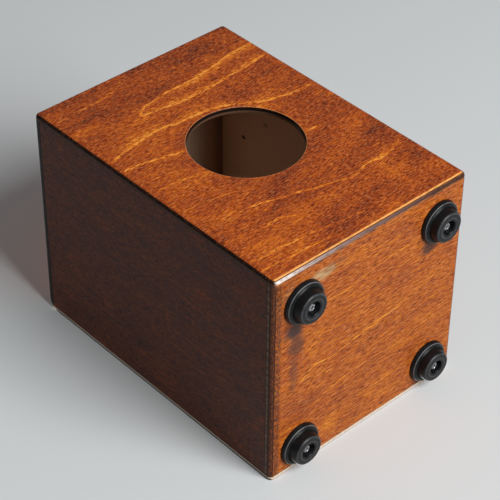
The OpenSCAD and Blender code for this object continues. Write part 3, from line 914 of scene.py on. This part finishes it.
def tapa():
    """The tapa's outline at each depth, its top following the seat's front rounding, its face eased by 0.5
    mm. Both faces are pierced by the countersunk screw holes, whose walls are cones and cylinders."""
    bend = np.linspace(0, 1, 9) * math.acos(1 - (TAPA_BACK_Y - FRONT_Y) / SEAT_FRONT_R)
    depth = FRONT_Y + SEAT_FRONT_R * (1 - np.cos(bend))
    depth = np.sort(np.concatenate([depth, FRONT_Y + np.array([0.04, 0.3, 0.5]) * MM]))
    ease = 0.5 * MM
    inset = ease * (1 - np.sqrt(1 - np.clip(1 - (depth - FRONT_Y) / ease, 0, 1) ** 2))
    profile = np.stack([inset, depth], axis=1)
    sections = board_sections((-SIDE_X, BOTTOM_Z), (SIDE_X, TOP_Z), (EDGE_R,) * 4, profile, "xzy", 10)
    sections = under_seat_front(sections)
    vertices, faces = skin(sections)
    parts = [(vertices, faces[:-2])]
    head_r, shank_r = TAPA_SCREW_HEAD_R + SCREW_GAP, TAPA_SCREW_R + SCREW_GAP
    wall = lathe([(head_r, FRONT_Y), (shank_r, FRONT_Y + TAPA_SCREW_SINK), (shank_r, TAPA_BACK_Y)], 24)
    wall = np.stack([wall[..., 0], wall[..., 2], wall[..., 1]], axis=-1)
    vertices, faces = skin(wall)
    places = np.stack([TAPA_SCREW_PLACES[:, 0], 0 * TAPA_SCREW_PLACES[:, 0], TAPA_SCREW_PLACES[:, 1]], axis=1)
    parts.append(copies((vertices, faces[:-2]), places))
    for rim, radius, y in ((sections[0], head_r, FRONT_Y), (sections[-1], shank_r, TAPA_BACK_Y)):
        parts.append(face_with_holes(rim[:, [0, 2]], TAPA_SCREW_PLACES, radius, y, "xzy"))
    return joined(parts)


make_piece("rear_panel_board", rear_panel(), REAR_PLY, "box", ["rear_panel"], 50)
make_piece("seat_panel_board", seat_panel(), SEAT_PLY, "box", ["seat_panel"], 50)
make_piece("bottom_panel_board", bottom_panel(), BOTTOM_PLY, "box", ["bottom_panel"], 50)
make_piece("right_side_board", side_panel(1), RIGHT_PLY, "box", ["right_side_panel"], 50)
make_piece("left_side_board", side_panel(-1), LEFT_PLY, "box", ["left_side_panel"], 50)
make_piece("tapa_board", tapa(), TAPA_PLY, "box", ["tapa"], 30)

# --- Screws, washers and dowels ---


def screw(head, shank_r, length, recess_arm, recess_depth, thread_pitch, steps=32):
    """A screw along -Z with its head's top towards +Z: the head's profile and a threaded shank turned about
    Z. The cross recess lowers the head's top where |x| or |y| is under half the slot's width, within the
    arms' reach. The thread swells the radius where height / pitch less the turn is near a whole number."""
    turns = np.linspace(0, TURN, steps, endpoint=False)
    top = np.asarray(head, float)
    rings = np.linspace(0, 1, 12)[:, None] ** 0.8
    flat_top = np.concatenate([rings * top[0, 0], top[0, 1] + 0 * rings], axis=1)
    down = np.linspace(top[-1, 1], -length + shank_r * 1.6, int(length / thread_pitch * 4))
    shank = np.stack([np.full(len(down), shank_r * 0.82), down], axis=1)
    point = np.array([[shank_r * 0.4, -length + 0.5 * shank_r], [0, -length]])
    profile = np.concatenate([flat_top, top[1:], shank, point])
    r, z = profile[:, :1], profile[:, 1:] + 0 * turns
    first, last = len(flat_top) + len(top) - 1, len(profile) - len(point)
    wave = np.cos(TURN * z[first:last] / thread_pitch - turns) * 0.5 + 0.5
    r = r + 0 * turns
    r[first:last] += shank_r * 0.18 * wave ** 3
    x, y = r * np.cos(turns), r * np.sin(turns)
    width = recess_arm * 0.22
    blur = 0.12 * MM

    def within(distance, reach):
        return 1 - soft_step(np.abs(distance), reach - blur, reach + blur)

    cross = np.maximum(within(y, width) * within(x, recess_arm), within(x, width) * within(y, recess_arm))
    on_top = (np.arange(len(profile)) < len(flat_top))[:, None]
    z = z - on_top * recess_depth * cross
    return skin(np.stack([x, y, z], axis=-1))


def pan_head(radius, height):
    """A pan head's side: a rounded shoulder from its flat top to its underside."""
    bend = np.linspace(0, TURN / 4, 6)
    across, up = radius * 0.70 + radius * 0.30 * np.sin(bend), height * (0.55 + 0.45 * np.cos(bend))
    shoulder = np.stack([across, up], axis=1)
    return np.concatenate([shoulder, [[radius, 0.12 * height], [radius * 0.97, 0.0], [radius * 0.5, 0.0]]])


def foot_places():
    """The middle of each foot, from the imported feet's boxes."""
    names = ("front_left_foot", "front_right_foot", "rear_left_foot", "rear_right_foot")
    boxes = [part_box(name) for name in names]
    return names, np.array([((low.x + high.x) / 2, (low.y + high.y) / 2, 0.0) for low, high in boxes])


FOOT_NAMES, FOOT_PLACES = foot_places()
RECESS_FLOOR = 6.4 * MM
WASHER_T = 1.0 * MM
WASHER_HOLE_R, WASHER_MIDDLE_R, WASHER_R = mm(2.1, 4.0, 6.0)


def turned_over(part):
    """The same part upside down, turned half round about X."""
    return part[0] * np.array([1, -1, -1]), part[1]


def along_y(part):
    """A part built along -Z laid along +Y, its head towards -Y."""
    return np.stack([part[0][:, 0], -part[0][:, 2], part[0][:, 1]], axis=1), part[1]


def in_snare_frame(points):
    """Points of the snares' own frame in the row frame: turned about X by the lean, then moved to the root
    line."""
    c, s = math.cos(SNARE_LEAN), math.sin(SNARE_LEAN)
    x, y, z = points[..., 0], points[..., 1], points[..., 2]
    return np.stack([x, ROOT_Y + c * y - s * z, ROOT_Z + s * y + c * z], axis=-1)


flat_head = [
    (TAPA_SCREW_HEAD_R * 0.93, -0.05 * MM), (TAPA_SCREW_HEAD_R, -0.15 * MM),
    (TAPA_SCREW_HEAD_R * 0.97, -0.25 * MM), (TAPA_SCREW_R, -TAPA_SCREW_SINK),
]
tapa_screw = along_y(screw(flat_head, TAPA_SCREW_R, length=17 * MM, recess_arm=1.7 * MM,
                           recess_depth=0.9 * MM, thread_pitch=1.1 * MM))
tapa_screws = copies(tapa_screw, [(x, FRONT_Y, z) for x, z in TAPA_SCREW_PLACES])
make_piece("tapa_wood_screws", tapa_screws, ZINC, "box", ["tapa_screws"])

foot_screw = turned_over(screw(pan_head(*mm(3.8, 2.4)), 1.75 * MM, length=14.5 * MM, recess_arm=2.2 * MM,
                               recess_depth=1.4 * MM, thread_pitch=1.3 * MM))
washer_spots = FOOT_PLACES + np.array([0, 0, RECESS_FLOOR - WASHER_T])
foot_screws = copies(foot_screw, washer_spots)
make_piece("foot_pan_screws", foot_screws, ZINC, "box", ["foot_screws"])

washer_ring = softened(
    [(WASHER_MIDDLE_R, 0), (WASHER_HOLE_R, 0), (WASHER_HOLE_R, WASHER_T), (WASHER_R, WASHER_T), (WASHER_R, 0),
     (WASHER_MIDDLE_R, 0)],
    mm(0.15, 0.15, 0.3, 0.3),
)
washers = copies(skin(lathe(washer_ring[:-1], 48), loop=True), washer_spots)
make_piece("foot_flat_washers", washers, ZINC, "box", ["foot_washers"])


def dowel(length):
    """A fluted dowel along Z: radius 2 mm less a shallow flute at every 30 degrees, its ends chamfered."""
    turns = np.linspace(0, TURN, 48, endpoint=False)
    top = length / MM
    height = np.array([0, 0, 0.5, 1.0, top - 1.0, top - 0.5, top, top])[:, None] * MM
    radius = np.array([0.0, 1.5, 1.95, 2.0, 2.0, 1.95, 1.5, 0.0])[:, None] * MM
    radius = radius * (1 - 0.06 * (0.5 + 0.5 * np.cos(12 * turns)) ** 2)
    return skin(np.stack([radius * np.cos(turns), radius * np.sin(turns), height + 0 * turns], axis=-1))


dowel_low, dowel_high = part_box("panel_dowels")
DOWEL_LENGTH = 15 * MM
dowel_spots = [
    (side * SIDE_SCREW_X, y * MM, z)
    for side in (-1, 1) for y in (-75, 0, 75) for z in (dowel_low.z, dowel_high.z - DOWEL_LENGTH)
]
dowels = copies(dowel(DOWEL_LENGTH), dowel_spots)
make_piece("fluted_dowels", dowels, BLOCK_WOOD, "box", ["panel_dowels"])

# --- Feet ---

# A foot's section as (radius, height) corners in millimetres, and how far each inner corner is softened
FOOT_OUTLINE = [
    (8.0, 14.0), (20.5, 14.0), (20.5, 12.6), (19.6, 9.6), (18.6, 9.0), (18.1, 8.9), (17.7, 8.3),
    (17.0, 8.4), (16.2, 9.3), (15.6, 8.6), (14.9, 2.0), (14.0, 0.5), (12.6, 0.0), (9.6, 0.0), (9.2, 0.35),
    (7.4, 0.35), (6.7, 1.1), (6.7, 6.4), (2.1, 6.4), (2.1, 14.0), (8.0, 14.0),
]
FOOT_SOFTNESS = [
    0.3, 0.8, 0.8, 0.4, 0.3, 0.25, 0.3, 0.5, 0.5, 1.0, 0.8, 0.6, 0.2, 0.2, 0.5, 0.5, 0.3, 0.2, 0.2,
]
foot_profile = softened(FOOT_OUTLINE, FOOT_SOFTNESS, 4)[:-1] * MM
foot_shape = skin(lathe(foot_profile, 96), loop=True)
for node, place in zip(FOOT_NAMES, FOOT_PLACES):
    make_piece(node + "_rubber", copies(foot_shape, [place]), RUBBER, "box", [node], 35)

# --- Batten, snare bar, blocks, felt and plates ---


def plank(low, high, ease):
    """A square-edged length of wood along X with eased arrises."""
    profile = edge_profile(low[0], high[0], ease, ease)
    return skin(board_sections((low[1], low[2]), (high[1], high[2]), (ease,) * 4, profile, "yzx", 3))


def snare_plank(low, high, ease):
    """The same in the snares' own frame, its corners in millimetres."""
    vertices, faces = plank([v * MM for v in low], [v * MM for v in high], ease)
    return in_snare_frame(vertices), faces


# The snares' own frame in millimetres: +Y away from the tapa, +Z up from the wires' root line
PLATE_HALF = ((WIRE_COUNT - 1) * WIRE_PITCH / MM + 7) / 2
FAN_MM = FAN_X / MM
IN_MM = INNER_X / MM
PLATE_BACK, FELT_BACK, BAR_BACK = 0.4, 1.9, 15.9
PLATE_TOP, BAR_TOP = -0.3, -0.5
PLATE_FOOT, FELT_FOOT, BAR_FOOT, BLOCK_FOOT = -12.3, -12.8, -18.5, -34.5
BLOCK_WIDTH = 14

batten = plank(BATTEN_LOW, BATTEN_HIGH, 0.6 * MM)
make_piece("top_batten_wood", batten, BAR_WOOD, "box", ["top_front_batten"])
bar = snare_plank((-IN_MM, FELT_BACK, BAR_FOOT), (IN_MM, BAR_BACK, BAR_TOP), 0.8 * MM)
make_piece("snare_bar_wood", bar, BAR_WOOD, "box", ["snare_bar"])
for side_name, start in (("left", -IN_MM), ("right", IN_MM - BLOCK_WIDTH)):
    block = snare_plank((start, FELT_BACK, BLOCK_FOOT), (start + BLOCK_WIDTH, BAR_BACK, BAR_FOOT), 0.6 * MM)
    make_piece(side_name + "_block_wood", block, BLOCK_WOOD, "box", [side_name + "_bar_block"])
felt_end = FAN_MM + PLATE_HALF
felt = snare_plank((-felt_end, PLATE_BACK, FELT_FOOT), (felt_end, FELT_BACK, BAR_TOP), 0.45 * MM)
make_piece("snare_felt_strip", felt, FELT, "box", ["snare_felt"])

wire_x = (np.arange(WIRE_COUNT) - (WIRE_COUNT - 1) / 2) * WIRE_PITCH


def solder_bead():
    """A squashed ball of solder on the plate's top edge."""
    bend = np.linspace(0, TURN / 2, 9)
    ball = lathe(np.stack([np.sin(bend) * 1.3, -np.cos(bend) * 1.5 - 1.0], axis=1) * MM, 16)
    return skin(ball * np.array([1, 0.75, 1]))


for side_name, fan in (("left", -1), ("right", 1)):
    middle = fan * FAN_MM
    low = mm(middle - PLATE_HALF, -PLATE_BACK, PLATE_FOOT)
    high = mm(middle + PLATE_HALF, PLATE_BACK, PLATE_TOP)
    sheet = plank(low, high, 0.2 * MM)
    beads = copies(solder_bead(), [(fan * FAN_X + x, 0, -0.6 * MM) for x in wire_x])
    vertices, faces = joined([sheet, beads])
    make_piece(side_name + "_plate_brass", (in_snare_frame(vertices), faces), BRASS, "box",
               [side_name + "_snare_plate"])

snare_screw = along_y(screw(pan_head(*mm(3.0, 1.8)), 1.5 * MM, length=13 * MM, recess_arm=1.7 * MM,
                            recess_depth=1.0 * MM, thread_pitch=1.1 * MM))
snare_screw_spots = [
    (fan * FAN_X + side * 18 * MM, -PLATE_BACK * MM, (PLATE_FOOT + PLATE_TOP) / 2 * MM)
    for fan in (-1, 1) for side in (-1, 1)
]
vertices, faces = copies(snare_screw, snare_screw_spots)
snare_screws = in_snare_frame(vertices), faces
make_piece("snare_pan_screws", snare_screws, ZINC, "box", ["snare_screws"])

# --- Snare wires ---

COIL_R = 0.76 * MM
WIRE_R = 0.22 * MM
COIL_PITCH = 1.25 * MM


def coil():
    """One coiled wire along Z: a circle of WIRE_R carried along a helix of COIL_R.
    Its section lies between the outward direction and the direction square to it and to the helix."""
    turns = WIRE_LENGTH / COIL_PITCH
    phase = np.linspace(0, turns * TURN, int(turns * 10))[:, None]
    around = np.linspace(0, TURN, 5, endpoint=False)
    out = np.stack([np.cos(phase), np.sin(phase), 0 * phase], axis=-1)
    rise = COIL_PITCH / TURN
    along = np.stack([-COIL_R * np.sin(phase), COIL_R * np.cos(phase), rise + 0 * phase], axis=-1)
    along = along / np.linalg.norm(along, axis=-1, keepdims=True)
    side = np.cross(along, out)
    height = WIRE_R + (WIRE_LENGTH - 2 * WIRE_R) * phase / phase[-1]
    centre = COIL_R * out + np.stack([0 * phase, 0 * phase, height], axis=-1)
    ring = np.cos(around)[None, :, None] * out + np.sin(around)[None, :, None] * side
    return skin(centre + WIRE_R * ring)


one_coil = coil()
for side_name, fan in (("left", -1), ("right", 1)):
    vertices, faces = copies(one_coil, [(fan * FAN_X + x, 0, 0) for x in wire_x])
    make_piece(side_name + "_snare_coils", (in_snare_frame(vertices), faces), SPRING,
               side_name + "_snare", [side_name + "_snare_wires"], 80)

# --- Studio ---


def studio_floor(name, corners, hole, tone):
    """A flat floor seen from its upper side only, so that it never stands between the camera and the object.
    corners run round it with the normal towards the object; hole is an opening under the object's own face.
    Its tone drifts by 1.5 % either way."""
    mesh = bpy.data.meshes.new(name)
    points = list(corners) + list(hole)
    if hole:
        faces = [[i, (i + 1) % 4, 4 + (i + 1) % 4, 4 + i] for i in range(4)]
    else:
        faces = [[0, 1, 2, 3]]
    mesh.from_pydata([list(p) for p in points], [], faces)
    f = Finish(name + "_paper")
    here = f.position()
    cloud = f.noise(here, 1.5, detail=1)
    colour = f.mix(cloud, tuple(c * 0.985 for c in tone), tuple(c * 1.015 for c in tone))
    paper = f.node("ShaderNodeBsdfDiffuse", {"Color": colour})
    clear = f.node("ShaderNodeBsdfTransparent", {})
    side = f.node("ShaderNodeNewGeometry", {}).outputs["Backfacing"]
    both = f.node("ShaderNodeMixShader", {0: side, 1: paper.outputs[0], 2: clear.outputs[0]})
    f.node("ShaderNodeOutputMaterial", {"Surface": both.outputs[0]})
    mesh.materials.append(f.material)
    floor = bpy.data.objects.new(name, mesh)
    bpy.context.scene.collection.objects.link(floor)
    floor.visible_shadow = False
    return floor


def soft_light(name, direction, distance, size, power):
    """A square soft box that looks at the object's middle from a direction."""
    light = bpy.data.lights.new(name, "AREA")
    light.shape = "SQUARE"
    light.size = size
    light.energy = power
    lamp = bpy.data.objects.new(name, light)
    way = Vector(direction).normalized()
    lamp.location = LIGHT_AIM + way * distance
    lamp.rotation_mode = "QUATERNION"
    lamp.rotation_quaternion = way.to_track_quat("Z", "Y")
    bpy.context.scene.collection.objects.link(lamp)
    return lamp


LIGHT_AIM = Vector((0, 0, 0.16))
FLOOR_TONE = (0.62, 0.64, 0.645)
FLOOR_REACH = 4.0
FLOOR_Y = FRONT_Y - 0.1 * MM

# The lying floor is open under the tapa, this far inside its outline
OPENING_MARGIN = 3.0 * MM
OPEN_X = SIDE_X - OPENING_MARGIN
OPEN_LOW = BOTTOM_Z + OPENING_MARGIN
OPEN_HIGH = TOP_Z - SEAT_FRONT_R - OPENING_MARGIN
FLOOR_CORNERS = [(-FLOOR_REACH, -FLOOR_REACH), (FLOOR_REACH, -FLOOR_REACH), (FLOOR_REACH, FLOOR_REACH),
                 (-FLOOR_REACH, FLOOR_REACH)]
lying_floor = studio_floor(
    "lying_floor",
    [(z, FLOOR_Y, x) for x, z in FLOOR_CORNERS],
    [(-OPEN_X, FLOOR_Y, OPEN_LOW), (-OPEN_X, FLOOR_Y, OPEN_HIGH), (OPEN_X, FLOOR_Y, OPEN_HIGH),
     (OPEN_X, FLOOR_Y, OPEN_LOW)],
    FLOOR_TONE,
)
standing_floor = studio_floor("standing_floor", [(x, y, 0) for x, y in FLOOR_CORNERS], [], FLOOR_TONE)
lying_floor.visible_diffuse = False
standing_floor.visible_diffuse = False
standing_floor.visible_glossy = False

world = bpy.data.worlds.new("studio_air")
bpy.context.scene.world = world
world.use_nodes = True
air = world.node_tree.nodes["Background"]
air.inputs["Color"].default_value = (0.93, 0.97, 1.0, 1)
air.inputs["Strength"].default_value = 0.18

soft_light("key_box", (-0.112, 0.643, -0.757), 3.80, 2.14, 196)
soft_light("front_box", (-0.35, -1.0, 0.35), 2.2, 1.0, 40)
soft_light("seat_box", (-0.30, -0.45, 1.0), 2.2, 1.0, 35)

CAMERA_AIM = Vector((0.0024, -0.0027, 0.1597))
CAMERA_DISTANCE = 1.6358
CAMERA_HEIGHT = math.radians(39.033)
CAMERA_TURN = math.radians(42.384)
CAMERA_ROLL = math.radians(0.495)
CAMERA_LENS_MM = 132.54
CAMERA_SENSOR_MM = 36

camera_data = bpy.data.cameras.new("camera")
camera = bpy.data.objects.new("camera", camera_data)
bpy.context.scene.collection.objects.link(camera)
bpy.context.scene.camera = camera
back = Vector((
    math.sin(CAMERA_TURN) * math.cos(CAMERA_HEIGHT),
    math.sin(CAMERA_HEIGHT),
    -math.cos(CAMERA_TURN) * math.cos(CAMERA_HEIGHT),
))
right = Vector((0, 1, 0)).cross(back).normalized()
right = Matrix.Rotation(CAMERA_ROLL, 3, back) @ right
up = back.cross(right)
pose = Matrix((right, up, back)).transposed().to_4x4()
pose.translation = CAMERA_AIM + back * CAMERA_DISTANCE
camera.matrix_world = pose
camera_data.sensor_width = CAMERA_SENSOR_MM
camera_data.lens = CAMERA_LENS_MM
camera_data.clip_start = 0.05
camera_data.clip_end = 30

bpy.context.scene.view_settings.view_transform = "Standard"
